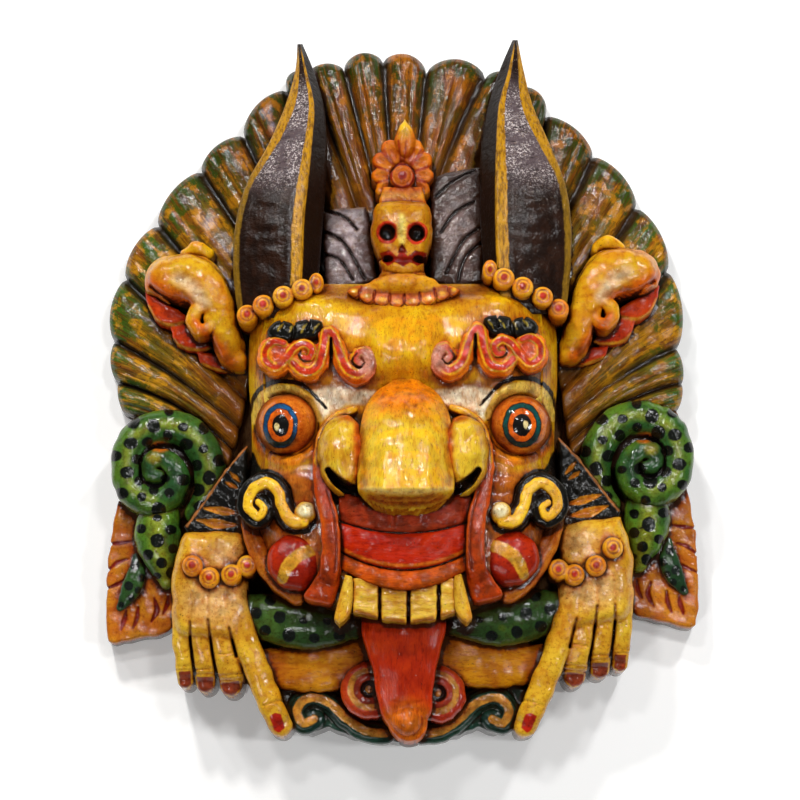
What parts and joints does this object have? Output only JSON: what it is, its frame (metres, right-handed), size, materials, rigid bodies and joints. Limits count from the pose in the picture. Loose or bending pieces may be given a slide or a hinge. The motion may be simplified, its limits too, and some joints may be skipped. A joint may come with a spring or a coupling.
{
  "type": "wooden mask",
  "caption": "Carved, painted and varnished wooden demon mask with horns, scalloped plume fan, ears, skull crown, coiled snakes, hands and hanging tongue, hollowed behind the face.",
  "frame": {"origin": "middle of the overall box at the sawn back, on which the mask lies", "axes": "+Z out of the face, +Y towards the horn tips, +X to the viewer's right"},
  "size_m": [0.4256, 0.5162, 0.1714],
  "materials": {
    "painted_wood": "hand-painted and varnished"
  },
  "bodies": {
    "root": {"mask": "painted_wood"}
  },
  "joints": []
}
